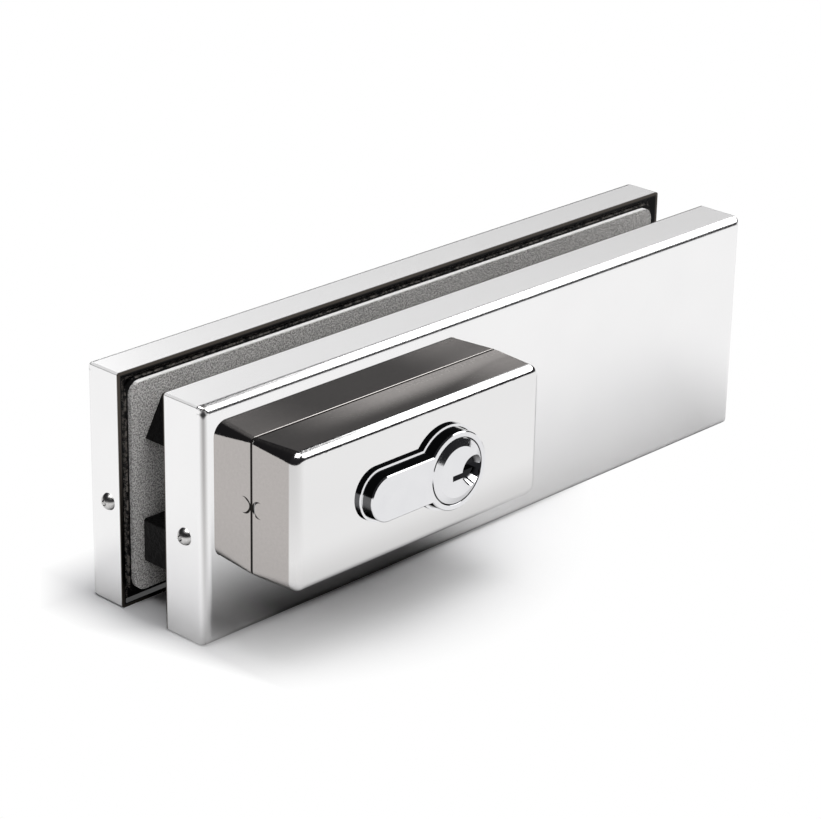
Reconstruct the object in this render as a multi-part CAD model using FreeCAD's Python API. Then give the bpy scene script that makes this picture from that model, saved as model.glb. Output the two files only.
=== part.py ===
import FreeCAD, Part
import math
import os

# Patch lock for a glass door.
# X runs along the lock, from the bolt end on the left (-X) to the right.
# Y = 0 is the middle of the glass, the cylinder faces -Y. Z = 0 is the long bottom edge.
# All sizes are in millimetres.

# covers
plate_length = 171.0
plate_height = 52.8
front_depth = 11.8
rear_depth = 10.2
rim_gap = 13.8
sheet = 0.9
plate_corner_r = 0.6
fold_inner_r = 0.2
plate_edge_r = 2.0

# clamp plates and gaskets
clamp_gap = 0.3
clamp_recess = 0.4
clamp_corner_r = 1.0
front_clamp_thickness = 9.0
rear_clamp_thickness = 7.8
land_inset = 0.9
land_height = 0.8
gasket_inset = 2.9
gasket_proud = 0.6
gasket_corner_r = 3.0

# housing on the front cover
housing_left = 2.9
housing_length = 71.1
housing_below_axis = 15.65
housing_height = 29.8
collar_depth = 10.6
cap_depth = 12.6
housing_plate_r = 3.2
housing_seam_r = 1.3
housing_face_r = 2.8
cap_edge_r = 1.9
collar_wall = 1.0
cap_wall = 1.2
collar_chamfer = 0.15
cap_chamfer = 0.35
seam_gap = 0.28
window_gap = 0.12
flange_width = 2.6
flange_thickness = 1.1
mark_r = 1.95
mark_width = 0.85
mark_depth = 0.45
mark_offset = 2.35
mark_height = 15.1

# profile cylinder
axis_from_left = 44.4
axis_height = 34.75
round_r = 8.5
tail_r = 5.0
tail_centre = 19.5
cylinder_proud = 4.2
rear_half = 10.0
cam_offset = -1.0
cam_width = 9.4
cam_slot = 10.0
cam_reach = 15.2
cam_lug_width = 8.6
cam_ring_r = 7.9
face_chamfer = 0.2
bore_chamfer = 0.3
sleeve_gap = 0.25
sleeve_wall = 0.5
sleeve_proud = 1.5
plug_r = 7.0
plug_fit = 0.05
plug_proud = 0.7
plug_chamfer = 1.5
neck_r = 5.0
neck_flat = 3.8
key_slot_width = 1.2
key_slot_start = 2.0
key_slot_depth = 34.0
key_slot_drop = 1.0
dish_centre = 4.1
dish_drop = 0.75
dish_r = 3.3
dish_floor_r = 2.4
dish_depth = 2.4
pin_count = 5
pin_pitch = 5.0
first_pin = 8.0
pin_r = 1.4
key_pin_length = 4.2
pin_sink = 0.03
driver_length = 4.6
spring_wire = 0.36
spring_turns = 6
chamber_plug_length = 2.2
circlip_thickness = 0.7
circlip_width = 1.5
circlip_opening = 50.0
circlip_gap = 0.4

# lock core, the casting in the glass gap
core_past_screws = 8.0
core_body_left = 18.0
core_above_axis = 10.85
core_bottom = 6.6
core_gap = 0.2
lower_horn_left = 5.6
lower_horn_bottom = 9.6
mouth_below_axis = 15.65
mouth_above_axis = 2.25
upper_horn_left = 6.4
upper_horn_top_left = 11.2
horn_round = 0.6
core_cover_thickness = 1.4
core_cover_margin = 4.6
core_cover_lap = 2.4
core_cover_low_lap = 1.6

# bolt
bolt_nose = 12.0
bolt_throw = 21.0
bolt_thickness = 9.0
bolt_fit = 0.1
bolt_top_below_axis = 9.15
bar_below_axis = 23.35
bolt_shoulder = 5.0
bolt_end_gap = 0.4
notch_gap = 0.3
bolt_round = 0.5
spring_strip = 0.4
spring_width = 6.5
spring_span = 15.0
spring_rise = 1.6

# screws
clamp_screw_r = 2.5
clamp_head_r = 4.6
clamp_low_left = 12.8
clamp_top_left = 15.0
clamp_right = 120.0
clamp_right_low = 13.6
clamp_right_high = 40.4
clamp_tip_gap = 1.5
cover_screw_r = 1.5
cover_head_r = 1.9
cover_head_height = 1.45
cover_screw_length = 7.0
cover_socket_r = 0.7
cover_screw_height = 23.3
front_screw_inset = 6.0
rear_screw_inset = 3.7
housing_screw_r = 2.0
housing_head_r = 3.9
housing_screw_left = 11.4
housing_screw_drop = 6.75
housing_screw_right = 64.0
housing_screw_length = 9.0
core_screw_r = 1.0
core_screw_head_r = 1.9
fixing_screw_r = 2.5
fixing_head_r = 4.4
fixing_from_axis = 20.4
fixing_socket_depth = 1.6
core_screw_length = 5.0
head_sink = 0.15
screw_gap = 0.05
hole_gap = 0.25
overrun = 1.0

# places worked out from the sizes above
left = -plate_length / 2
front_rim = -rim_gap / 2
rear_rim = rim_gap / 2
front_face = front_rim - front_depth
rear_face = rear_rim + rear_depth
front_land = front_rim - clamp_recess
rear_land = rear_rim + clamp_recess
front_glass = front_rim + gasket_proud
rear_glass = rear_rim - gasket_proud
housing_x = left + housing_left
seam_y = front_face - collar_depth
cap_y = seam_y - cap_depth
axis_x = left + axis_from_left
housing_bottom = axis_height - housing_below_axis
core_top = axis_height + core_above_axis
mouth_bottom = axis_height - mouth_below_axis
mouth_top = axis_height + mouth_above_axis
bolt_top = axis_height - bolt_top_below_axis
bolt_low_bottom = axis_height - bar_below_axis
clamp_screw_places = ((clamp_low_left, (lower_horn_bottom + mouth_bottom) / 2),
                      (clamp_top_left, (mouth_top + core_top) / 2),
                      (clamp_right, clamp_right_low), (clamp_right, clamp_right_high))
core_right = clamp_right + core_past_screws
housing_screw_places = ((housing_screw_left, axis_height - housing_screw_drop),
                        (housing_screw_right, axis_height))
cylinder_y = cap_y - cylinder_proud
plug_y = cylinder_y - plug_proud
cylinder_rear = cam_offset + rear_half
cam_front = cam_offset - cam_width / 2
cam_rear = cam_offset + cam_width / 2
slot_front = cam_offset - cam_slot / 2
slot_rear = cam_offset + cam_slot / 2
core_front = front_glass + core_gap
core_rear = rear_glass - core_gap
channel_front = core_front + core_cover_thickness
channel_rear = channel_front + bolt_thickness + 2 * bolt_fit
bolt_front = channel_front + bolt_fit
cam_sweep = cam_reach + 0.5
plug_rear = cam_rear + 0.1 + circlip_thickness + 0.5
circlip_bore = neck_r - 0.48
circlip_r = circlip_bore + circlip_width
tail_end = axis_x - tail_centre - tail_r


def notch_range():
    """Stretch of the bolt that the cam's lug sweeps over one turn, in the bolt's own place at rest."""
    half = cam_lug_width / 2
    outline = [(cam_ring_r + (cam_reach - cam_ring_r) * i / 12, side)
               for i in range(13) for side in (-half, half)]
    found = []
    for step in range(361):
        turn = math.radians(step)
        drift = bolt_throw * step / 360
        for reach, side in outline:
            reach = min(reach, math.sqrt(cam_reach ** 2 - side ** 2))
            x = -reach * math.cos(turn) + side * math.sin(turn)
            z = reach * math.sin(turn) + side * math.cos(turn)
            if axis_height + z < bolt_top + notch_gap:
                found.append(axis_x + x + drift)
    return min(found) - notch_gap, max(found) + notch_gap


notch_start, notch_stop = notch_range()
bar_left = notch_start - bolt_shoulder
bar_right = notch_stop + bolt_shoulder
low_left = bar_left - bolt_throw - bolt_end_gap
cover_left = left + core_body_left + bolt_end_gap
spring_x = bar_left + spring_span / 2


def vec(x, y, z):
    return FreeCAD.Vector(x, y, z)


def block(x0, x1, y0, y1, z0, z1):
    return Part.makeBox(x1 - x0, y1 - y0, z1 - z0, vec(x0, y0, z0))


def rod_y(x, z, r, y0, y1):
    return Part.makeCylinder(r, y1 - y0, vec(x, y0, z), vec(0, 1, 0))


def rod_x(y, z, r, x0, x1):
    return Part.makeCylinder(r, x1 - x0, vec(x0, y, z), vec(1, 0, 0))


def rounded_wire(x0, x1, z0, z1, r, y):
    """Rectangle with rounded corners in the plane at y."""
    turn = r * (1 - math.sqrt(0.5))
    points = []
    for cx, cz, sx, sz in ((x1, z0, -1, 1), (x1, z1, -1, -1), (x0, z1, 1, -1), (x0, z0, 1, 1)):
        along_z = vec(cx, y, cz + sz * r)
        along_x = vec(cx + sx * r, y, cz)
        middle = vec(cx + sx * turn, y, cz + sz * turn)
        points.append((along_x, middle, along_z) if sx * sz < 0 else (along_z, middle, along_x))
    edges = []
    for here, after in zip(points, points[1:] + points[:1]):
        edges.append(Part.Arc(*here).toShape())
        edges.append(Part.LineSegment(here[2], after[0]).toShape())
    return Part.Wire(edges)


def slab(x0, x1, z0, z1, r, y0, y1):
    """Plate with rounded corners between y0 and y1."""
    return Part.Face(rounded_wire(x0, x1, z0, z1, r, y0)).extrude(vec(0, y1 - y0, 0))


def edges_at(shape, y):
    return [e for e in shape.Edges if abs(e.BoundBox.YMin - y) < 1e-4 and abs(e.BoundBox.YMax - y) < 1e-4]


def plate(inset, r, y0, y1):
    """Plate of the cover's outline, inset all round, with corners of radius r."""
    return slab(left + inset, -left - inset, inset, plate_height - inset, r, y0, y1)


def profile(offset, y0, y1):
    """Profile cylinder section: a round with a tail to the left."""
    round_part = rod_y(axis_x, axis_height, round_r + offset, y0, y1)
    tail_x = axis_x - tail_centre
    half = tail_r + offset
    tail = rod_y(tail_x, axis_height, half, y0, y1)
    flank = block(tail_x, axis_x, y0, y1, axis_height - half, axis_height + half)
    return round_part.fuse([tail, flank]).removeSplitter()


def countersunk(x, z, r, head_r, y_head, y_tip):
    """Countersunk screw along Y with a hexagon socket; its head's flat is at y_head."""
    way = 1 if y_tip > y_head else -1
    head_depth = head_r - r
    direction = vec(0, way, 0)
    head = Part.makeCone(head_r, r, head_depth, vec(x, y_head, z), direction)
    shank = Part.makeCylinder(r, abs(y_tip - y_head), vec(x, y_head, z), direction)
    socket = Part.makeCylinder(r * 0.55, head_depth * 0.9, vec(x, y_head, z), direction)
    return head.fuse(shank).cut(socket).removeSplitter()


def countersink(x, z, r, head_r, y_head, y_tip):
    """Clearance hole and countersink for the same screw."""
    way = 1 if y_tip > y_head else -1
    direction = vec(0, way, 0)
    start = vec(x, y_head - way * 0.01, z)
    cone = Part.makeCone(head_r + hole_gap, r + hole_gap, head_r - r, start, direction)
    hole = Part.makeCylinder(r + hole_gap, abs(y_tip - y_head) + 0.02, start, direction)
    return cone.fuse(hole)


def tray(face_y, rim_y):
    """Folded sheet cover: a face and four sides with rounded corners and edges."""
    way = 1 if rim_y > face_y else -1
    low, high = min(face_y, rim_y), max(face_y, rim_y)
    outer = plate(0, plate_corner_r, low, high)
    outer = outer.makeFillet(plate_edge_r, edges_at(outer, face_y))
    floor_y = face_y + way * sheet
    low, high = min(floor_y, rim_y + way), max(floor_y, rim_y + way)
    inner = plate(sheet, fold_inner_r, low, high)
    inner = inner.makeFillet(plate_edge_r - sheet, edges_at(inner, floor_y))
    return outer.cut(inner)


def end_screw_places():
    """Cover screws in both ends of both covers: x of the wall, its outward sign and y."""
    places = []
    for y in (front_rim - front_screw_inset, rear_rim + rear_screw_inset):
        places.append((left, -1, y))
        places.append((-left, 1, y))
    return places


def end_screw_hole(x, sign, y, r):
    inner = x - sign * (sheet + cover_screw_length)
    low, high = min(inner, x + sign), max(inner, x + sign)
    return rod_x(y, cover_screw_height, r, low, high)


def front_cover():
    cover = tray(front_face, front_rim)
    window = slab(housing_x - window_gap, housing_x + housing_length + window_gap,
                  housing_bottom - window_gap, housing_bottom + housing_height + window_gap,
                  housing_plate_r + window_gap, front_face - 1, front_face + sheet + 1)
    cover = cover.cut(window)
    for x, sign, y in end_screw_places():
        if y < 0:
            cover = cover.cut(end_screw_hole(x, sign, y, cover_screw_r + hole_gap))
    return cover


def rear_cover():
    cover = tray(rear_face, rear_rim)
    for x, sign, y in end_screw_places():
        if y > 0:
            cover = cover.cut(end_screw_hole(x, sign, y, cover_screw_r + hole_gap))
    return cover


def housing_wire(inset, r, y):
    return rounded_wire(housing_x + inset, housing_x + housing_length - inset,
                        housing_bottom + inset, housing_bottom + housing_height - inset, r, y)


def housing_loft(sections):
    wires = [housing_wire(inset, r, y) for inset, r, y in sections]
    return Part.makeLoft(wires, True, True)


def seam_side_r(depth_from_seam, depth, far_r):
    """Corner radius of a shell at a distance from the seam."""
    return housing_seam_r + (far_r - housing_seam_r) * depth_from_seam / depth


def punch_marks(side):
    """Crescent marks in both ends of one shell, deepest at the seam. The shell's sign in y is side."""
    y = seam_y + side * mark_offset
    z = housing_bottom + mark_height
    deep_y = y - side * mark_r
    high_y = deep_y + side * 2 * mark_width
    marks = []
    for x, outward in ((housing_x, -1), (housing_x + housing_length, 1)):
        inner = x - outward * mark_depth
        outer = x + outward * mark_depth
        corners = [vec(inner, deep_y, z - mark_r), vec(outer, high_y, z - mark_r),
                   vec(outer, deep_y, z - mark_r), vec(inner, deep_y, z - mark_r)]
        wedge = Part.Face(Part.makePolygon(corners)).extrude(vec(0, 0, 2 * mark_r))
        marks.append(rod_x(y, z, mark_r, min(inner, outer), max(inner, outer)).common(wedge))
    return marks


def housing_collar():
    edge = seam_y + seam_gap / 2
    shoulder = edge + collar_chamfer
    shoulder_r = seam_side_r(shoulder - seam_y, collar_depth, housing_plate_r)
    under = front_face + sheet + flange_thickness + 0.1
    outer = housing_loft([(0, housing_plate_r, front_face), (0, shoulder_r, shoulder),
                          (collar_chamfer, shoulder_r - collar_chamfer, edge)])
    root = slab(housing_x, housing_x + housing_length, housing_bottom,
                housing_bottom + housing_height, housing_plate_r, front_face, under)
    flange_y = front_face + sheet + 0.1
    room = plate_height - max(plate_edge_r, sheet) - clamp_gap - housing_bottom - housing_height
    reach = min(flange_width, room)
    flange = slab(housing_x, housing_x + housing_length + flange_width,
                  housing_bottom - flange_width, housing_bottom + housing_height + reach,
                  housing_plate_r, flange_y, under)
    bore_r = housing_plate_r - collar_wall
    inner = housing_loft([(collar_wall, bore_r, under + 1), (collar_wall, bore_r, front_face),
                          (collar_wall, bore_r * 0.5, edge - 1)])
    collar = outer.fuse([root, flange]).cut(inner)
    return collar.cut(punch_marks(1)).removeSplitter()


def housing_cap():
    edge = seam_y - seam_gap / 2
    shoulder = edge - cap_chamfer
    shoulder_r = seam_side_r(seam_y - shoulder, cap_depth, housing_face_r)
    outer = housing_loft([(0, shoulder_r, shoulder), (0, housing_face_r, cap_y)])
    outer = outer.makeFillet(cap_edge_r, edges_at(outer, cap_y))
    lip = housing_loft([(cap_chamfer, shoulder_r - cap_chamfer, edge), (0, shoulder_r, shoulder)])
    bore_r = housing_face_r - cap_wall
    inner = slab(housing_x + cap_wall, housing_x + housing_length - cap_wall,
                 housing_bottom + cap_wall, housing_bottom + housing_height - cap_wall,
                 bore_r, cap_y + cap_wall, edge + 1)
    cap = outer.fuse(lip).cut(inner)
    hole = profile(sleeve_gap + sleeve_wall + 0.03, cap_y - 1, cap_y + cap_wall + 1)
    cap = cap.cut(hole)
    return cap.cut(punch_marks(-1)).removeSplitter()


def cylinder_sleeve():
    back = cap_y + cap_wall
    outer = profile(sleeve_gap + sleeve_wall, cap_y - sleeve_proud, back)
    return outer.cut(profile(sleeve_gap, cap_y - sleeve_proud - 1, back + 1))


def housing_core_block():
    """Casting inside both shells, screwed to the front clamp plate."""
    inset = max(collar_wall, cap_wall) + clamp_gap
    back = front_land - front_clamp_thickness - 0.02
    core = slab(housing_x + inset, housing_x + housing_length - inset, housing_bottom + inset,
                housing_bottom + housing_height - inset, housing_plate_r, cap_y + cap_wall + clamp_gap, back)
    core = core.cut(profile(sleeve_gap, cap_y, back + 1))
    for x, z in housing_screw_places:
        core = core.cut(rod_y(left + x, z, housing_screw_r + screw_gap,
                              back - housing_screw_length - overrun, back + overrun))
    return core


def housing_core_screws():
    screws = []
    for x, z in housing_screw_places:
        tip = front_land - front_clamp_thickness - housing_screw_length
        screws.append(countersunk(left + x, z, housing_screw_r, housing_head_r,
                                  front_land - head_sink, tip))
    return Part.makeCompound(screws)


def pin_places():
    return [cylinder_y + first_pin + i * pin_pitch for i in range(pin_count)]


def chamber(y, r, from_axis, to_axis):
    """Round hole or pin along the tail, between two distances from the axis."""
    return rod_x(y, axis_height, r, axis_x - to_axis, axis_x - from_axis)


def cylinder_body():
    body = profile(0, cylinder_y, cylinder_rear)
    body = body.makeChamfer(face_chamfer, edges_at(body, cylinder_y))
    body = body.cut(rod_y(axis_x, axis_height, plug_r + plug_fit, cylinder_y - 1, slot_front))
    entry = Part.makeCone(plug_r + plug_fit + bore_chamfer, plug_r + plug_fit, bore_chamfer,
                          vec(axis_x, cylinder_y, axis_height), vec(0, 1, 0))
    body = body.cut(entry)
    body = body.cut(rod_y(axis_x, axis_height, cam_reach + 0.4, slot_front, slot_rear))
    body = body.cut(rod_y(axis_x, axis_height, circlip_r + circlip_gap,
                          slot_rear - overrun, plug_rear + circlip_gap))
    for y in pin_places():
        body = body.cut(chamber(y, pin_r + plug_fit, plug_r - 1, tail_centre + tail_r + 1))
    foot = vec(axis_x - fixing_from_axis, cam_offset, axis_height - tail_r - overrun)
    hole = Part.makeCylinder(fixing_screw_r + screw_gap, 2 * (tail_r + overrun), foot)
    return body.cut(hole)


def neck(r, y0, y1):
    """Rear end of the plug, with the flat that drives the cam."""
    stem = rod_y(axis_x, axis_height, r, y0, y1)
    return stem.cut(block(axis_x + neck_flat, axis_x + r + 1, y0 - 1, y1 + 1,
                          axis_height - r - 1, axis_height + r + 1))


def cylinder_plug():
    front = slot_front + 0.1
    plug = rod_y(axis_x, axis_height, plug_r, cylinder_y, front)
    rim = Part.makeCone(plug_r, plug_r - plug_chamfer, plug_proud,
                        vec(axis_x, cylinder_y, axis_height), vec(0, -1, 0))
    groove_y = cam_rear + 0.05
    plug = plug.fuse([rim, neck(neck_r, front, plug_rear)])
    groove = rod_y(axis_x, axis_height, neck_r + 1, groove_y, groove_y + circlip_thickness + 0.1)
    groove = groove.cut(rod_y(axis_x, axis_height, neck_r - 0.5, groove_y - 1, plug_rear + 1))
    plug = plug.cut(groove)
    slot_z = axis_height - key_slot_drop
    plug = plug.cut(block(axis_x - key_slot_start, axis_x + plug_r + 1, plug_y - 1, plug_y + key_slot_depth,
                          slot_z - key_slot_width / 2, slot_z + key_slot_width / 2))
    dish_place = vec(axis_x + dish_centre, plug_y, axis_height - dish_drop)
    dish = Part.makeCone(dish_r, dish_floor_r, dish_depth, dish_place, vec(0, 1, 0))
    plug = plug.cut(dish)
    for y in pin_places():
        plug = plug.cut(chamber(y, pin_r + plug_fit, key_slot_start - 0.5, plug_r + 1))
    return plug.removeSplitter()


def cylinder_cam():
    ring = rod_y(axis_x, axis_height, cam_ring_r, cam_front, cam_rear)
    half = cam_lug_width / 2
    lug = block(axis_x - cam_reach, axis_x, cam_front, cam_rear, axis_height - half, axis_height + half)
    lug = lug.common(rod_y(axis_x, axis_height, cam_reach, cam_front, cam_rear))
    bore = neck(neck_r + 0.03, cam_front - 1, cam_rear + 1)
    return ring.fuse(lug).cut(bore).removeSplitter()


def cam_circlip():
    y0 = cam_rear + 0.1
    y1 = y0 + circlip_thickness
    clip = rod_y(axis_x, axis_height, circlip_r, y0, y1)
    clip = clip.cut(rod_y(axis_x, axis_height, circlip_bore, y0 - 1, y1 + 1))
    reach = circlip_r + 1
    spread = reach * math.tan(math.radians(circlip_opening / 2))
    corners = [vec(axis_x, y0 - 1, axis_height), vec(axis_x + reach, y0 - 1, axis_height + spread),
               vec(axis_x + reach, y0 - 1, axis_height - spread), vec(axis_x, y0 - 1, axis_height)]
    wedge = Part.Face(Part.makePolygon(corners)).extrude(vec(0, circlip_thickness + 2 * overrun, 0))
    return clip.cut(wedge)


def key_pins():
    outer = math.sqrt(plug_r ** 2 - pin_r ** 2) - pin_sink
    pins = []
    for y in pin_places():
        pin = chamber(y, pin_r, outer - key_pin_length, outer)
        pins.append(pin.makeChamfer(0.5, [pin.Edges[0]]))
    return Part.makeCompound(pins)


def driver_pins():
    start = plug_r + plug_fit + 0.1
    return Part.makeCompound([chamber(y, pin_r, start, start + driver_length) for y in pin_places()])


def pin_springs():
    start = plug_r + plug_fit + 0.1 + driver_length + 0.1
    stop = tail_centre + tail_r - chamber_plug_length - 0.5
    coil_r = pin_r - spring_wire / 2 - 0.05
    height = stop - start - spring_wire
    springs = []
    for y in pin_places():
        helix = Part.makeHelix(height / spring_turns, height, coil_r)
        ring = Part.makeCircle(spring_wire / 2, vec(coil_r, 0, 0), vec(0, 1, 0))
        coil = Part.Wire(helix.Edges).makePipeShell([Part.Wire(ring)], True, True)
        coil.rotate(vec(0, 0, 0), vec(0, 1, 0), 90)
        coil.translate(vec(axis_x - stop + spring_wire / 2, y, axis_height))
        springs.append(coil)
    return Part.makeCompound(springs)


def chamber_plugs():
    stop = tail_centre + tail_r - 0.3
    return Part.makeCompound([chamber(y, pin_r, stop - chamber_plug_length, stop) for y in pin_places()])


def fixing_screw():
    """Screw down through the core's top into the cylinder's tail."""
    x = axis_x - fixing_from_axis
    head_depth = fixing_head_r - fixing_screw_r
    down = vec(0, 0, -1)
    top = vec(x, cam_offset, core_top - 0.1)
    head = Part.makeCone(fixing_head_r, fixing_screw_r, head_depth, top, down)
    length = core_top - 0.1 - (axis_height - tail_r + 1)
    shank = Part.makeCylinder(fixing_screw_r, length, top, down)
    socket = Part.makeCylinder(fixing_screw_r * 0.55, fixing_socket_depth, top, down)
    return head.fuse(shank).cut(socket).removeSplitter()


def core_outline():
    """Side view of the core: lower horn, mouth, sloped upper horn and body."""
    x0 = left
    corners = [(lower_horn_left, lower_horn_bottom), (core_body_left, lower_horn_bottom),
               (core_body_left, core_bottom), (core_right, core_bottom), (core_right, core_top),
               (upper_horn_top_left, core_top), (upper_horn_left, mouth_top),
               (core_body_left, mouth_top), (core_body_left, mouth_bottom),
               (lower_horn_left, mouth_bottom), (lower_horn_left, lower_horn_bottom)]
    return Part.makePolygon([vec(x0 + x, core_front, z) for x, z in corners])


def cover_outline(gap, y0, y1):
    """Core cover: a plate over the bolt's channel, cut away round the cam."""
    x0 = cover_left - gap
    x1 = bar_right + bolt_fit + core_cover_margin + gap
    z0 = bolt_low_bottom - core_cover_low_lap - gap
    cover = block(x0, x1, y0, y1, z0, bolt_top + core_cover_lap + gap)
    return cover.cut(rod_y(axis_x, axis_height, cam_sweep - gap, y0 - 1, y1 + 1))


def core_screw_places():
    right = bar_right + bolt_fit + core_cover_margin / 2
    return ((right, bolt_low_bottom + 1.4), (right, bolt_top - 0.6),
            ((cover_left + low_left) / 2, (bolt_low_bottom + mouth_bottom) / 2))


def lock_core():
    core = Part.Face(core_outline()).extrude(vec(0, core_rear - core_front, 0))
    tip = left + lower_horn_left
    rounded = [e for e in core.Edges
               if abs(e.BoundBox.XMax - tip) < 0.01 and abs(e.BoundBox.ZMin - mouth_bottom) < 0.01
               and e.BoundBox.YLength > 1]
    core = core.makeFillet(horn_round, rounded)
    head_channel = block(left + core_body_left - 1, tail_end + 1, core_front - 1, channel_rear,
                         mouth_bottom, mouth_top)
    x1 = bar_right + bolt_end_gap
    web_channel = block(left + core_body_left - 1, x1, core_front - 1, channel_rear,
                        mouth_bottom, bolt_top + bolt_fit)
    low_channel = block(low_left, x1, core_front - 1, channel_rear,
                        bolt_low_bottom - bolt_fit, bolt_top + bolt_fit)
    cam_room = rod_y(axis_x, axis_height, cam_sweep, core_front - 1, cam_rear + 0.6)
    middle = (channel_front + channel_rear) / 2
    spring_pocket = block(spring_x - spring_span / 2 - 0.8, spring_x + spring_span / 2 + 0.8,
                          middle - spring_width / 2 - 0.2, middle + spring_width / 2 + 0.2,
                          bolt_low_bottom - spring_rise - spring_strip - 0.35, bolt_low_bottom)
    core = core.cut([head_channel, web_channel, low_channel, cam_room, spring_pocket])
    core = core.cut(profile(sleeve_gap, core_front - 1, core_rear + 1))
    core = core.cut(cover_outline(0.1, core_front - 1, channel_front))
    for x, z in clamp_screw_places:
        core = core.cut(rod_y(left + x, z, clamp_screw_r + hole_gap, core_front - 1, core_rear + 1))
    for x, z in core_screw_places():
        core = core.cut(rod_y(x, z, core_screw_r + screw_gap,
                              core_front, core_front + core_screw_length + overrun))
    x = axis_x - fixing_from_axis
    top = vec(x, cam_offset, core_top + 0.01)
    depth = fixing_head_r - fixing_screw_r
    sink = Part.makeCone(fixing_head_r + hole_gap, fixing_screw_r + hole_gap, depth, top, vec(0, 0, -1))
    bore = Part.makeCylinder(fixing_screw_r + hole_gap, core_top - axis_height, top, vec(0, 0, -1))
    return core.cut([sink, bore]).removeSplitter()


def core_cover():
    cover = cover_outline(0, core_front, channel_front - 0.02)
    cover = cover.cut(profile(sleeve_gap, core_front - 1, channel_front + 1))
    for x, z in core_screw_places():
        cover = cover.cut(countersink(x, z, core_screw_r, core_screw_head_r, core_front, channel_front))
    return cover


def core_cover_screws():
    screws = []
    for x, z in core_screw_places():
        screws.append(countersunk(x, z, core_screw_r, core_screw_head_r, core_front + head_sink,
                                  core_front + core_screw_length))
    return Part.makeCompound(screws)


def bolt():
    """Head between the horns, web under the cylinder's tail, bar with the cam's notch."""
    back = bolt_front + bolt_thickness
    nose = left + bolt_nose
    head = block(nose, tail_end - bolt_end_gap, bolt_front, back,
                 mouth_bottom + bolt_fit, mouth_top - bolt_fit)
    web = block(nose, bar_right, bolt_front, back, mouth_bottom + bolt_fit, bolt_top)
    bar = block(bar_left, bar_right, bolt_front, back, bolt_low_bottom, bolt_top)
    solid = head.fuse([web, bar]).removeSplitter()
    solid = solid.cut(block(notch_start, notch_stop, bolt_front - 1, back + 1,
                            axis_height - cam_sweep, bolt_top + 1))
    rounded = [e for e in solid.Edges if abs(e.BoundBox.XMax - nose) < 0.01]
    return solid.makeFillet(bolt_round, rounded)


def bolt_spring():
    """Bowed strip under the bolt that keeps it where it is put."""
    x = spring_x
    crown = bolt_low_bottom - 0.04
    half = spring_span / 2
    foot = crown - spring_rise
    y0 = (channel_front + channel_rear - spring_width) / 2
    upper = Part.Arc(vec(x - half, y0, foot), vec(x, y0, crown), vec(x + half, y0, foot)).toShape()
    lower = Part.Arc(vec(x - half, y0, foot - spring_strip), vec(x, y0, crown - spring_strip),
                     vec(x + half, y0, foot - spring_strip)).toShape()
    ends = [Part.LineSegment(vec(x + s * half, y0, foot),
                             vec(x + s * half, y0, foot - spring_strip)).toShape()
            for s in (-1, 1)]
    wire = Part.Wire(Part.__sortEdges__([upper, lower] + ends))
    return Part.Face(wire).extrude(vec(0, spring_width, 0))


def clamp_plate(land_y, thickness):
    """Casting inside a cover, with a raised land under the gasket."""
    way = -1 if land_y < 0 else 1
    step_y = land_y + way * land_height
    back_y = land_y + way * thickness
    inset = sheet + clamp_gap
    base = plate(inset, clamp_corner_r, min(step_y, back_y), max(step_y, back_y))
    land = plate(inset + land_inset, gasket_corner_r, min(land_y, step_y), max(land_y, step_y))
    solid = base.fuse(land).removeSplitter()
    for x, sign, y in end_screw_places():
        if y * land_y > 0:
            solid = solid.cut(end_screw_hole(x, sign, y, cover_screw_r + screw_gap))
    return solid


def front_clamp_plate():
    solid = clamp_plate(front_land, front_clamp_thickness)
    back = front_land - front_clamp_thickness
    solid = solid.cut(profile(sleeve_gap, back - 1, front_land + 1))
    for x, z in clamp_screw_places:
        solid = solid.cut(rod_y(left + x, z, clamp_screw_r + screw_gap, back + 1, front_land + 1))
    for x, z in housing_screw_places:
        solid = solid.cut(countersink(left + x, z, housing_screw_r, housing_head_r, front_land, back))
    return solid


def rear_clamp_plate():
    solid = clamp_plate(rear_land, rear_clamp_thickness)
    back = rear_land + rear_clamp_thickness
    solid = solid.cut(profile(0.4, rear_land - 1, cylinder_rear + 0.4))
    for x, z in clamp_screw_places:
        solid = solid.cut(countersink(left + x, z, clamp_screw_r, clamp_head_r, back, rear_land))
    return solid


def clamp_screws():
    head = rear_land + rear_clamp_thickness - head_sink
    tip = front_land - front_clamp_thickness + clamp_tip_gap
    return Part.makeCompound([countersunk(left + x, z, clamp_screw_r, clamp_head_r, head, tip)
                              for x, z in clamp_screw_places])


def gasket(land_y, glass_y):
    low, high = min(land_y, glass_y), max(land_y, glass_y)
    solid = plate(gasket_inset, gasket_corner_r, low, high)
    solid = solid.cut(profile(1.0, low - 1, high + 1))
    for x, z in clamp_screw_places:
        solid = solid.cut(rod_y(left + x, z, clamp_screw_r + hole_gap, low - 1, high + 1))
    return solid


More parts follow.
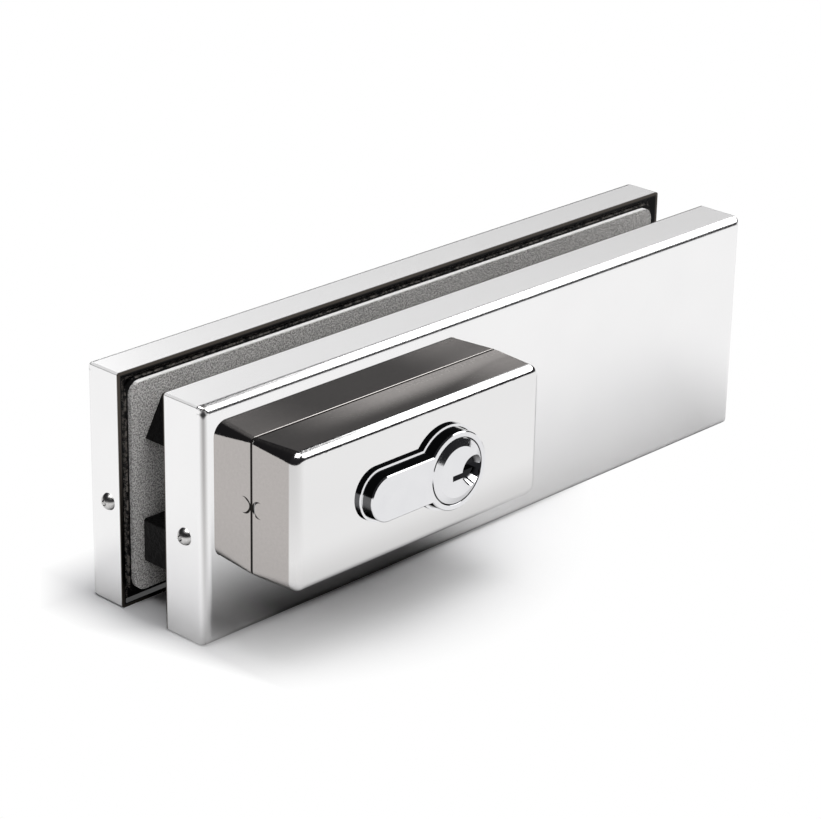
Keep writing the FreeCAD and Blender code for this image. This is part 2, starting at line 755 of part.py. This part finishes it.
def cover_screws():
    """Domed screws with a hexagon socket, through the covers' end walls."""
    screws = []
    ball_r = (cover_head_r ** 2 + cover_head_height ** 2) / (2 * cover_head_height)
    for x, sign, y in end_screw_places():
        middle = vec(x - sign * (ball_r - cover_head_height), y, cover_screw_height)
        dome = Part.makeSphere(ball_r, middle, vec(sign, 0, 0))
        reach = ball_r * 2
        low, high = min(x, x + sign * reach), max(x, x + sign * reach)
        dome = dome.common(block(low, high, y - reach, y + reach,
                                 cover_screw_height - reach, cover_screw_height + reach))
        inner = x - sign * (sheet + cover_screw_length - 0.5)
        shank = rod_x(y, cover_screw_height, cover_screw_r, min(inner, x), max(inner, x))
        corners = []
        for i in range(7):
            angle = math.radians(60 * i)
            corners.append(vec(x + sign * cover_head_height, y + cover_socket_r * math.cos(angle),
                               cover_screw_height + cover_socket_r * math.sin(angle)))
        socket = Part.Face(Part.makePolygon(corners)).extrude(vec(-sign * 1.4, 0, 0))
        screws.append(dome.fuse(shank).cut(socket).removeSplitter())
    return Part.makeCompound(screws)


nodes = {
    "front_cover": front_cover,
    "rear_cover": rear_cover,
    "housing_collar": housing_collar,
    "housing_cap": housing_cap,
    "housing_core": housing_core_block,
    "housing_core_screws": housing_core_screws,
    "cylinder_sleeve": cylinder_sleeve,
    "cylinder_body": cylinder_body,
    "cylinder_plug": cylinder_plug,
    "cylinder_cam": cylinder_cam,
    "cam_circlip": cam_circlip,
    "key_pins": key_pins,
    "driver_pins": driver_pins,
    "pin_springs": pin_springs,
    "chamber_plugs": chamber_plugs,
    "cylinder_fixing_screw": fixing_screw,
    "lock_core": lock_core,
    "core_cover": core_cover,
    "core_cover_screws": core_cover_screws,
    "bolt": bolt,
    "bolt_spring": bolt_spring,
    "front_clamp_plate": front_clamp_plate,
    "rear_clamp_plate": rear_clamp_plate,
    "clamp_screws": clamp_screws,
    "front_gasket": lambda: gasket(front_land, front_glass),
    "rear_gasket": lambda: gasket(rear_land, rear_glass),
    "cover_screws": cover_screws,
}

os.makedirs("parts", exist_ok=True)
for name, make in nodes.items():
    shape = make()
    box = shape.BoundBox
    print(name, "solids", len(shape.Solids), "valid", shape.isValid(), "volume", round(shape.Volume, 1),
          "x", round(box.XMin, 2), round(box.XMax, 2), "y", round(box.YMin, 2), round(box.YMax, 2),
          "z", round(box.ZMin, 2), round(box.ZMax, 2))
    shape.exportStep("parts/" + name + ".step")
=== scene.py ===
import math

import bmesh
import bpy
from mathutils import Matrix, Vector


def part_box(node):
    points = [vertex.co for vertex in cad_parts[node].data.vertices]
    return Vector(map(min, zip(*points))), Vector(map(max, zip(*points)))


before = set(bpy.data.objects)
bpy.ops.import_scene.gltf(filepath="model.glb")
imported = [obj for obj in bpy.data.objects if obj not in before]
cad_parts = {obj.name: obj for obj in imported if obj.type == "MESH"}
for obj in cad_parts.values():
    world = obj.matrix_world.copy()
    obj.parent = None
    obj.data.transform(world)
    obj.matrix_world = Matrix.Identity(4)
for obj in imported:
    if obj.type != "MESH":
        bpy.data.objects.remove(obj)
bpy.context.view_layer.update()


# Front cover. A tray pressed from stainless sheet, with a window cut for the cylinder housing.
# It is polished along its length, which leaves faint lines and a soft mirror. Painted shade
# darkens the upright bends and the top, a painted shadow sits below each top corner of the bends,
# the cut rim stays brown, and painted shade darkens the inside.
class Flow:
    """A value on its way through a finish. Arithmetic on it adds Math nodes."""

    def __init__(self, tree, socket=None):
        self.tree = tree
        self.socket = socket

    def node(self, kind, settings=None, inputs=None, out=0):
        made = self.tree.nodes.new("ShaderNode" + kind)
        for name, value in (settings or {}).items():
            setattr(made, name, value)
        for key, value in (inputs or {}).items():
            self.feed(made.inputs[key], value)
        return Flow(self.tree, made.outputs[out])

    def feed(self, socket, value):
        if isinstance(value, Flow):
            self.tree.links.new(value.socket, socket)
        else:
            socket.default_value = value

    def math(self, operation, first, second=0.0, clamp=False):
        settings = {"operation": operation, "use_clamp": clamp}
        return self.node("Math", settings, {0: first, 1: second})

    def __add__(self, other):
        return self.math("ADD", self, other)

    def __radd__(self, other):
        return self.math("ADD", other, self)

    def __sub__(self, other):
        return self.math("SUBTRACT", self, other)

    def __rsub__(self, other):
        return self.math("SUBTRACT", other, self)

    def __mul__(self, other):
        return self.math("MULTIPLY", self, other)

    def __rmul__(self, other):
        return self.math("MULTIPLY", other, self)

    def least(self, other):
        return self.math("MINIMUM", self, other)

    def most(self, other):
        return self.math("MAXIMUM", self, other)

    def size(self):
        """The value without its sign."""
        return self.math("ABSOLUTE", self)

    def parts(self):
        """The X, Y and Z of a point."""
        split = self.node("SeparateXYZ", {}, {0: self})
        return [Flow(self.tree, out) for out in split.socket.node.outputs]

    def between(self, low, high):
        """0 below low, 1 above high, and a smooth step between them."""
        ranged = {"Value": self, "From Min": low, "From Max": high}
        return self.node("MapRange", {"interpolation_type": "SMOOTHSTEP"}, ranged)

    def mix(self, first, second):
        """A colour between first and second, with this value as the factor."""
        inputs = {"Factor": self, 6: (*first, 1.0) if isinstance(first, tuple) else first}
        inputs[7] = (*second, 1.0) if isinstance(second, tuple) else second
        return self.node("Mix", {"data_type": "RGBA"}, inputs, out=2)


def new_finish(name, roughness, metallic):
    """A material with its Principled shader, and a Flow that holds a point's place in the lock."""
    material = bpy.data.materials.new(name)
    material.use_nodes = True
    shader = material.node_tree.nodes["Principled BSDF"]
    shader.inputs["Roughness"].default_value = roughness
    shader.inputs["Metallic"].default_value = metallic
    place = Flow(material.node_tree).node("TexCoord", out="Object")
    return material, shader, place


def grain(place, cells, detail=2.0, stretch=(1.0, 1.0, 1.0)):
    """Noise with a mean of about 0.5, in cells per metre. Stretch draws it out."""
    drawn = {"Vector": place, "Scale": tuple(1.0 / s for s in stretch)}
    placed = place.node("Mapping", {"vector_type": "POINT"}, drawn)
    return place.node("TexNoise", {}, {"Vector": placed, "Scale": cells, "Detail": detail})


def bump(place, height, depth):
    """A normal from a height in units of depth, which is in metres."""
    return place.node("Bump", {}, {"Height": height, "Distance": depth, "Strength": 1.0})


def give(material, *nodes):
    for name in nodes:
        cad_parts[name].material_slots[0].material = material


bend_size = 0.0020
rim_reach = 0.0004
sheet_inside = 0.0007
top_skin = (0.0004, 0.0001)
shadow_drop = 0.8
wheel_stretch = (14.0, 1.0, 1.0)
wheel_depth = 0.0000025
sheen = ((0.875, 0.872, 0.875), (0.925, 0.92, 0.92))
bend_and_top_shade = (0.36, 0.35, 0.345)
bend_shadow = (0.04, 0.04, 0.04)
cut_edge = (0.055, 0.047, 0.040)
inside_shade = (0.010, 0.010, 0.010)


def polished_stainless():
    material, shader, place = new_finish("polished_stainless", 0.2, 1.0)
    low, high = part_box("rear_cover")
    front_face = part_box("front_cover")[0].y
    along, across, height = place.parts()
    inward = high.x - along.size()
    behind = (across - front_face).least(high.y - across)
    lines = grain(place, 2600.0, 2.0, wheel_stretch)
    cloud = grain(place, 70.0, 3.0)
    pits = grain(place, 1700.0, 1.0).between(0.70, 0.76)

    off_bend = (inward - behind).size().between(0.0, bend_size * 0.7)
    in_corner = 1.0 - inward.most(behind).between(bend_size * 0.9, bend_size)
    bend = (1.0 - off_bend) * in_corner * height.between(-0.020, high.z)
    top = height.between(high.z - top_skin[0], high.z - top_skin[1]) * along.between(low.x, high.x)
    under_top = (height - (high.z - bend_size * shadow_drop)).size() + off_bend * bend_size * 0.5
    shadow = 1.0 - under_top.between(bend_size * 0.15, bend_size * 0.65)
    rim = 1.0 - across.size().between(low.y + rim_reach * 0.5, low.y + rim_reach)
    depth = inward.least(behind).least(height.least(high.z - height))
    # painted shade: the inside of the tray is drawn near black
    inside = depth.between(sheet_inside * 0.8, sheet_inside)

    # painted shade: the bends and the top are mixed towards a darker grey, and a painted shadow
    # darkens a spot below each top corner
    metal = (bend * 0.9).most(top * 0.22).mix(cloud.mix(*sheen), bend_and_top_shade)
    metal = rim.mix((in_corner * shadow).mix(metal, bend_shadow), cut_edge)
    place.feed(shader.inputs["Base Color"], inside.mix(metal, inside_shade))
    place.feed(shader.inputs["Roughness"], 0.15 + lines * 0.05 + cloud * 0.05 + pits * 0.03)
    place.feed(shader.inputs["Normal"], bump(place, lines * 0.5 + cloud * 0.5, wheel_depth))
    return material


stainless = polished_stainless()
give(stainless, "front_cover")


# Rear cover. The plain mate of the front one, pressed from the same sheet in the same polish.
# It fits over the rear clamp plate, as the front one does over its own.
give(stainless, "rear_cover")


# Cover screws. Four small domed screws, turned from stainless bar, in the covers' end walls.
# They hold the covers on their clamp plates.
turned_steel = ((0.55, 0.54, 0.53), (0.80, 0.79, 0.78))


def screw_steel():
    material, shader, place = new_finish("screw_steel", 0.3, 1.0)
    turned = grain(place, 900.0, 2.0)
    place.feed(shader.inputs["Base Color"], turned.mix(*turned_steel))
    place.feed(shader.inputs["Roughness"], 0.22 + turned * 0.18)
    return material


give(screw_steel(), "cover_screws")


# Housing. Two nickel-plated shells meet at a fine seam: a collar that comes through the cover's
# window, and a cap with the cylinder's hole. Painted shade draws their sides in a darker, warm
# grey and painted light draws the face in a light grey, with painted shade on the face's left bend
# and along its foot. Hands leave a film on the top, a punch left a pair of marks beside the seam
# at each end, and painted shade darkens the seam and the marks.
seam_half = 0.00017
mark_r = 0.00195
mark_offset = 0.00235
mark_height = 0.0151
mark_stroke = 0.00033
mark_skin = (0.0006, 0.0008)
cap_bend = 0.0028
face_skin = (0.0016, 0.0020)
foot_reach = 0.010
film_edge = 0.0030
plate_depth = 0.000004
side_shade_plate = ((0.425, 0.402, 0.388), (0.485, 0.458, 0.442))
lit_face_plate = ((0.79, 0.785, 0.785), (0.84, 0.835, 0.835))
bend_and_foot_shade = (0.42, 0.41, 0.405)
seam_and_mark_shade = (0.012, 0.011, 0.010)


def nickel_plate():
    material, shader, place = new_finish("nickel_plate", 0.1, 1.0)
    low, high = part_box("housing_cap")
    along, across, height = place.parts()
    streaks = grain(place, 120.0, 3.0, (9.0, 1.0, 1.0))
    speckle = grain(place, 1500.0, 2.0)
    face = 1.0 - across.between(low.y + face_skin[0], low.y + face_skin[1])
    top = height.between(high.z - top_skin[0], high.z - top_skin[1])

    on_cap = 1.0 - across.between(high.y - 0.0003, high.y - 0.0001)
    right_end = along.between(high.x - 0.026, high.x - 0.004)
    left_end = 1.0 - along.between(low.x + 0.002, low.x + 0.022)
    by_seam = across.between(low.y + film_edge, high.y - film_edge)
    by_seam = by_seam * along.between(low.x + 0.004, low.x + 0.040)
    film = by_seam.most(right_end * 0.8) * on_cap
    film = film + (right_end * 0.4 + left_end * 0.25) * (1.0 - on_cap)
    haze = top * film * (0.60 + streaks * 1.1) + top * speckle * 0.05

    off_seam = (across - (high.y + seam_half)).size()
    seam = 1.0 - off_seam.between(seam_half, seam_half * 1.15)
    past_mark = (across - high.y).size() - mark_offset
    level = height - (low.z + mark_height)
    radius = place.math("SQRT", past_mark * past_mark + level * level)
    width = (0.2 - past_mark * (1.0 / mark_r)) * mark_stroke
    off_stroke = (radius - (mark_r - mark_stroke * 0.6)).size() - width
    mark = 1.0 - off_stroke.between(-0.00008, 0.00004)
    mark = mark * (1.0 - (along - low.x).least(high.x - along).between(*mark_skin))

    # painted shade: the face darkens on its left bend and towards its foot
    bend = 1.0 - (along - low.x).between(0.0, cap_bend)
    bend = bend * (0.05 + height.between(low.z, high.z) * 0.4)
    foot = (1.0 - height.between(low.z, low.z + foot_reach)) * 0.45
    front = bend.most(foot).mix(streaks.mix(*lit_face_plate), bend_and_foot_shade)
    # painted light and shade: the face is drawn light and the sides a darker, warm grey
    plate = face.mix(speckle.mix(*side_shade_plate), front)
    # painted shade: the seam and the punch marks are drawn near black
    place.feed(shader.inputs["Base Color"], seam.most(mark).mix(plate, seam_and_mark_shade))
    place.feed(shader.inputs["Roughness"], 0.09 + streaks * 0.07 + speckle * 0.03 + haze * 0.1)
    place.feed(shader.inputs["Metallic"], 1.0 - haze * 0.68)
    place.feed(shader.inputs["Normal"], bump(place, streaks * 0.7 + speckle * 0.1, plate_depth))
    return material


give(nickel_plate(), "housing_collar", "housing_cap")


# Profile cylinder with its thin sleeve. Brass under satin nickel: the body with its tail, the
# round plug that the key turns, and the lip that closes the gap to the cap. Painted shade darkens
# the ring round the plug, the keyway and the walls between body and cap.
ring_dark = 0.00034
key_depth = 0.0013
lip_width = 0.0003
lip_rim = 0.00005
nickel_depth = 0.000006
satin_nickel = ((0.74, 0.74, 0.76), (0.82, 0.82, 0.83))
crevice_shade = (0.015, 0.015, 0.017)


def cylinder_nickel(name, keyed):
    material, shader, place = new_finish(name, 0.12, 1.0)
    low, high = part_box("cylinder_plug")
    along, across, height = place.parts()
    cloud = grain(place, 220.0, 3.0)
    dust = grain(place, 3800.0, 2.0)
    if keyed:
        deep = across.between(low.y + key_depth, low.y + key_depth * 1.8)
    else:
        sideways = along - (low.x + high.x) / 2
        upward = height - (low.z + high.z) / 2
        radius = place.math("SQRT", sideways * sideways + upward * upward)
        plug_r = (high.z - low.z) / 2
        ring = 1.0 - radius.between(plug_r + ring_dark * 0.8, plug_r + ring_dark)
        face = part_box("cylinder_body")[0].y
        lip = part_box("cylinder_sleeve")[0].y
        wall = across.between(face + lip_width, face + lip_width * 1.6)
        on_lip = 1.0 - across.between(lip + lip_rim * 2, lip + lip_rim * 4)
        wall = wall - across.between(lip - lip_rim, lip) * on_lip
        deep = ring.most(wall * 0.88)
    # painted shade: the ring round the plug, the keyway and the walls are drawn near black
    place.feed(shader.inputs["Base Color"], deep.mix(cloud.mix(*satin_nickel), crevice_shade))
    place.feed(shader.inputs["Roughness"], 0.08 + cloud * 0.06 + dust.between(0.5, 0.8) * 0.12)
    place.feed(shader.inputs["Normal"], bump(place, dust * 0.4 + cloud * 0.6, nickel_depth))
    return material


give(cylinder_nickel("cylinder_nickel", False), "cylinder_body", "cylinder_sleeve")
give(cylinder_nickel("plug_nickel", True), "cylinder_plug")


# Clamp plates and core. Iron castings in black paint, left rough from the sand mould. A painted
# highlight lies in spots along the edge of the rear plate.
land_in = 0.0009
sand_depth = 0.00045
paint_gloss = 0.06
black_paint = ((0.003, 0.003, 0.003), (0.010, 0.0095, 0.0095))
edge_highlight = (0.30, 0.275, 0.25)


def black_casting():
    material, shader, place = new_finish("black_casting", 0.5, 0.0)
    shader.inputs["Specular IOR Level"].default_value = paint_gloss
    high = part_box("rear_clamp_plate")[1]
    along, _, height = place.parts()
    coarse = grain(place, 900.0, 4.0)
    fine = grain(place, 3200.0, 2.0)
    outward = (along.size() - (high.x - land_in)).most(height - (high.z - land_in))
    edge = outward.between(-0.0005, -0.0002) * (1.0 - outward.between(0.0001, 0.0003))
    # painted highlight: light specks along the edge of the land
    lit_specks = edge * (coarse * 0.6 + fine * 0.4).between(0.44, 0.58)
    place.feed(shader.inputs["Base Color"], lit_specks.mix(coarse.mix(*black_paint), edge_highlight))
    place.feed(shader.inputs["Roughness"], 0.30 + fine * 0.35)
    place.feed(shader.inputs["Normal"], bump(place, coarse * 0.7 + fine * 0.3, sand_depth))
    return material


give(black_casting(), "rear_clamp_plate", "front_clamp_plate", "lock_core")


# Gaskets. Grey pressed fibre, about a millimetre thick, cut with rounded corners. They are glued
# to the clamp plates, and a painted highlight lies along their upper edge as a pale, ragged line.
edge_light_reach = (0.00012, 0.00002)
edge_uneven = 0.0004
fibre_depth = 0.00010
speckled_grey = ((0.14, 0.135, 0.13), (0.76, 0.745, 0.73))
top_edge_light = (0.95, 0.94, 0.93)


def pressed_fibre():
    material, shader, place = new_finish("pressed_fibre", 0.85, 0.0)
    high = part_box("rear_gasket")[1]
    height = place.parts()[2]
    fibre = grain(place, 3000.0, 2.0)
    ragged = grain(place, 1400.0, 2.0)
    cloud = grain(place, 60.0, 2.0)
    # painted highlight: the lit upper edge is drawn as a pale ragged line
    lit_edge = height + ragged * edge_uneven
    lit_edge = lit_edge.between(high.z - edge_light_reach[0], high.z + edge_light_reach[1])
    shade = fibre.between(0.38, 0.62) * 0.75 + cloud * 0.25
    place.feed(shader.inputs["Base Color"], lit_edge.mix(shade.mix(*speckled_grey), top_edge_light))
    place.feed(shader.inputs["Normal"], bump(place, fibre, fibre_depth))
    return material


give(pressed_fibre(), "rear_gasket", "front_gasket")


# Works. The milled bolt and cam, the turned pins and the wound springs, in plain steel and brass,
# the cast block inside the housing, and the black screws that hold the lock together.
def plain_metal(name, dark, light, roughness):
    material, shader, place = new_finish(name, roughness, 1.0)
    marks = grain(place, 800.0, 3.0, (3.0, 1.0, 1.0))
    place.feed(shader.inputs["Base Color"], marks.mix(dark, light))
    place.feed(shader.inputs["Roughness"], roughness - 0.05 + marks * 0.1)
    return material


bolt_steel = plain_metal("bolt_steel", (0.34, 0.34, 0.35), (0.44, 0.44, 0.45), 0.3)
cam_steel = plain_metal("cam_steel", (0.40, 0.39, 0.37), (0.52, 0.51, 0.48), 0.35)
spring_steel = plain_metal("spring_steel", (0.30, 0.30, 0.32), (0.44, 0.44, 0.46), 0.25)
pin_brass = plain_metal("pin_brass", (0.66, 0.50, 0.24), (0.80, 0.64, 0.34), 0.22)
black_screws = plain_metal("black_screws", (0.05, 0.05, 0.055), (0.10, 0.10, 0.105), 0.4)
raw_alloy = plain_metal("raw_alloy", (0.42, 0.42, 0.43), (0.55, 0.55, 0.56), 0.45)
give(bolt_steel, "bolt")
give(cam_steel, "cylinder_cam", "core_cover")
give(spring_steel, "cam_circlip", "pin_springs", "bolt_spring")
give(pin_brass, "key_pins", "driver_pins", "chamber_plugs")
give(black_screws, "clamp_screws", "housing_core_screws", "core_cover_screws")
give(black_screws, "cylinder_fixing_screw")
give(raw_alloy, "housing_core")


# Floor. A pale paper sweep that the lock stands on. The paper is pure white outside the lock's
# own shadow. Polished metal mirrors painted shade on the floor close to the lock's foot, and a
# painted shadow below the housing, which would stand there in the mirror image.
floor_half = 4.0
floor_shade = 0.93
floor_blue = 1.015
shade_middle = -0.040
shade_front = -0.018
shade_depth = 0.040
shade_bow = 180.0
shade_past_end = 80.0
shade_past_back = 66.0
foot_shade = 0.68
under_housing = (-0.067, -0.012)
under_shade = 0.12
under_soft = 0.014
mirror_reach = 0.065
mirror_left = -0.066
mirror_past_end = -0.010
mirror_past_back = 0.02


def studio_floor():
    mesh = bmesh.new()
    bmesh.ops.create_grid(mesh, x_segments=1, y_segments=1, size=floor_half)
    data = bpy.data.meshes.new("floor")
    mesh.to_mesh(data)
    mesh.free()
    floor = bpy.data.objects.new("floor", data)
    bpy.context.scene.collection.objects.link(floor)
    material, shader, place = new_finish("floor_paper", 0.9, 0.0)
    shader.inputs["Specular IOR Level"].default_value = 0.0
    low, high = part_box("front_cover")
    along, across, _ = place.parts()
    past_end = along.size() - high.x
    past_back = across + low.y

    aside = along - shade_middle
    white = (shade_front - across) * (1.0 / shade_depth) + aside * aside * shade_bow
    white = white.most(0.0) + (past_end * shade_past_end).most(0.0)
    white = place.math("ADD", white, (past_back * shade_past_back).most(0.0), clamp=True)

    away = (low.y - across).between(0.0, mirror_reach)
    away = away.most((mirror_left - along).between(0.0, mirror_reach * 1.4))
    away = away.most(past_end.between(mirror_past_end, mirror_reach * 0.75))
    away = away.most(past_back.between(0.0, mirror_past_back))

    left, right = under_housing
    under = along.between(left - under_soft * 0.5, left + under_soft * 0.5)
    under = under * (1.0 - along.between(right - under_soft, right + under_soft))
    paper = (floor_shade, floor_shade, floor_shade * floor_blue)
    # painted shade and shadow: glossy rays see the floor darker by the foot and darkest below the
    # housing
    foot = under.mix((foot_shade,) * 3, (under_shade,) * 3)
    foot = along.between(low.x - under_soft, low.x).mix(paper, foot)

    seen = place.node("LightPath", out="Is Camera Ray")
    mirrored = place.node("LightPath", out="Is Glossy Ray")
    place.feed(shader.inputs["Base Color"], (mirrored * (1.0 - away)).mix(paper, foot))
    glow = place.node("Emission", {}, {"Color": (1.0, 1.0, 1.0, 1.0), "Strength": 1.0})
    surface = Flow(material.node_tree, shader.outputs["BSDF"])
    share = seen * white + mirrored * white.least(away)
    blend = place.node("MixShader", {}, {0: share, 1: surface, 2: glow})
    place.feed(material.node_tree.nodes["Material Output"].inputs["Surface"], blend)
    data.materials.append(material)


studio_floor()


# Light. A soft box overhead and a long card to the right light everything. Low cards give the
# covers' tops, ends and backs and the housing's top their own greys, each for its pieces alone,
# and a lamp in front reaches into the gap. The room is dark in the metal and white behind it.
middle = (0.0, 0.0, 0.03)
covers = ("front_cover", "rear_cover")
housing = ("housing_collar", "housing_cap")
gaskets = ("front_gasket", "rear_gasket")
room_dark = (0.02, 0.02, 0.022)
room_white = (1.0, 1.0, 1.0)


def soft_box(name, place, width, height, radiance):
    data = bpy.data.lights.new(name, "AREA")
    data.shape = "RECTANGLE"
    data.size = width
    data.size_y = height
    data.energy = radiance * math.pi * width * height
    lamp = bpy.data.objects.new(name, data)
    bpy.context.scene.collection.objects.link(lamp)
    away = Vector(place) - Vector(middle)
    lamp.rotation_euler = away.to_track_quat("Z", "Y").to_euler()
    lamp.location = place
    lamp.visible_camera = False
    return lamp


def only_for(nodes, lamp):
    """Lights the named nodes alone."""
    group = bpy.data.collections.new(lamp.name + "_group")
    for name in nodes:
        group.objects.link(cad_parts[name])
    lamp.light_linking.receiver_collection = group


soft_box("overhead", (0.06, -0.12, 1.20), 0.95, 0.95, 4.8)
side_card = soft_box("side_card", (1.199, -0.255, 1.00), 2.1, 0.75, 3.0)
side_card.visible_diffuse = False
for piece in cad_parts.values():
    piece.visible_glossy = False
only_for(covers, soft_box("corner_card", (-0.19, 1.31, 0.98), 2.8, 1.5, 0.75))
only_for(housing, soft_box("dim_card", (1.35, 1.25, 0.78), 1.2, 0.55, 0.10))
only_for(covers, soft_box("back_card", (1.35, 1.25, 0.78), 1.6, 0.55, 0.90))
only_for(covers, soft_box("front_card", (-0.63, -1.36, 0.62), 1.8, 0.9, 0.70))
only_for(covers, soft_box("left_card", (-1.50, -0.05, 0.62), 1.2, 0.9, 0.70))
only_for(gaskets, soft_box("gap_light", (-0.50, -1.00, 0.85), 0.8, 0.8, 4.5))

world = bpy.data.worlds.new("room")
bpy.context.scene.world = world
world.use_nodes = True
room = Flow(world.node_tree)
background = world.node_tree.nodes["Background"]
seen = room.node("LightPath", out="Is Camera Ray")
room.feed(background.inputs["Color"], seen.mix(room_dark, room_white))
background.inputs["Strength"].default_value = 1.0


# Camera, where the photograph was taken from. Its place, aim and lens were fitted to the corners
# of the covers and the outline of the cylinder.
camera_place = (-0.43343, -0.40659, 0.27036)
camera_azimuth = math.radians(46.375)
camera_drop = math.radians(22.648)
camera_roll = math.radians(1.107)
camera_lens = 125.94
sensor_width = 36.0

ahead = Vector((math.sin(camera_azimuth) * math.cos(camera_drop),
                math.cos(camera_azimuth) * math.cos(camera_drop), -math.sin(camera_drop)))
level = Vector((math.cos(camera_azimuth), -math.sin(camera_azimuth), 0.0))
upright = level.cross(ahead)
right = math.cos(camera_roll) * level + math.sin(camera_roll) * upright
above = -math.sin(camera_roll) * level + math.cos(camera_roll) * upright
aim = Matrix((right, above, -ahead)).transposed().to_4x4()
lens = bpy.data.cameras.new("camera")
lens.lens = camera_lens
lens.sensor_width = sensor_width
lens.clip_start = 0.01
camera = bpy.data.objects.new("camera", lens)
camera.matrix_world = Matrix.Translation(camera_place) @ aim
bpy.context.scene.collection.objects.link(camera)
bpy.context.scene.camera = camera
bpy.context.scene.view_settings.view_transform = "Standard"
